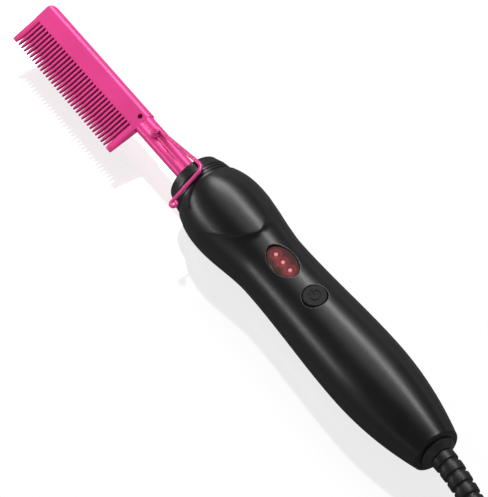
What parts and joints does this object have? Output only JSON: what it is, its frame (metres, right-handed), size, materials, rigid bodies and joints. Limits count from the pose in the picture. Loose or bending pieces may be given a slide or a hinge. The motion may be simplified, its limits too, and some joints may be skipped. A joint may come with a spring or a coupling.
{
  "type": "hot comb",
  "caption": "Heated metal comb on a hollow split handle, with a power button, a lamp window, a swinging wire rest and a swivelling mains cord stored in a tied hank.",
  "frame": {"origin": "middle of the footprint of the comb, handle and strain relief, on the surface the handle lies on", "axes": "+X from the comb's tip along the handle to the cord, +Y towards the comb's spine, +Z out of the face with the button"},
  "size_m": [0.6075, 0.0463, 0.04],
  "materials": {
    "handle_black": "satin soft-touch finish, fine moulded grain",
    "nose_black": "heat-resistant plastic, satin",
    "button_black": "satin, with a sunk power mark",
    "pink_metal": "pink anodised-look coating, satin gloss",
    "pink_screw": "coated with the neck",
    "dark_screw": "sunk set screw, dark",
    "steel": "zinc-plated",
    "ceramic": "unglazed heater ceramic",
    "sensor_bead": "varnished bead",
    "white_lead": "silicone-covered wire",
    "red_lead": "silicone-covered wire",
    "black_lead": "PVC-covered wire",
    "glass_sleeve": "woven glass fibre sleeving",
    "board_green": "solder-resist over glass-epoxy",
    "component_dark": "moulded component cases",
    "lamp_red": "clear red lamp body, lit",
    "lens_smoke": "smoked red lens",
    "switch_black": "moulded case",
    "natural_plastic": "natural acetal",
    "gland_black": "satin plastic",
    "contact_brass": "bright",
    "relief_rubber": "flexible moulded PVC",
    "cord_rubber": "PVC sheath",
    "tie_black": "hook-and-loop strap",
    "plug_black": "moulded PVC",
    "blade_nickel": "nickel-plated brass"
  },
  "bodies": {
    "root": {"upper_shell": "handle_black", "lower_shell": "handle_black", "nose_collar": "nose_black", "comb_head": "pink_metal", "neck_tube": "pink_metal", "pivot_screw": "pink_screw", "set_screw": "dark_screw", "ceramic_heater": "ceramic", "temperature_sensor": "sensor_bead", "heater_leads": "white_lead", "sensor_lead": "red_lead", "insulating_sleeve": "glass_sleeve", "ceramic_flange": "ceramic", "flange_screws": "steel", "neck_clamp": "steel", "circuit_board": "board_green", "power_components": "component_dark", "board_screws": "steel", "indicator_lamps": "lamp_red", "window_lens": "lens_smoke", "tactile_switch": "switch_black", "shell_screws": "steel", "swivel_bush": "natural_plastic", "contact_carrier": "natural_plastic", "contact_brushes": "contact_brass", "supply_leads": "black_lead", "strain_relief": "relief_rubber", "power_cord": "cord_rubber", "cord_coil": "cord_rubber", "cord_tie": "tie_black", "plug_body": "plug_black", "plug_blades": "blade_nickel"},
    "wire_stand": {"wire_rest": "pink_metal"},
    "button": {"power_button": "button_black", "switch_plunger": "natural_plastic"},
    "cord_swivel": {"swivel_gland": "gland_black", "slip_rings": "contact_brass"}
  },
  "joints": [
    {"name": "rest_swing", "type": "hinge", "parent": "root", "child": "wire_stand", "pos_m": [-0.08792, 0.00066, 0.02403], "axis": [0, -0.225, 0.9744], "range_deg": [-120, 0]},
    {"name": "button_press", "type": "slide", "parent": "root", "child": "button", "axis": [0, 0, -1], "range_m": [0, 0.0008], "stiffness_N_per_m": 1500},
    {"name": "cord_turn", "type": "hinge", "parent": "root", "child": "cord_swivel", "pos_m": [0.12598, 0.00098, 0.02], "axis": [1, 0, 0], "continuous": true}
  ]
}
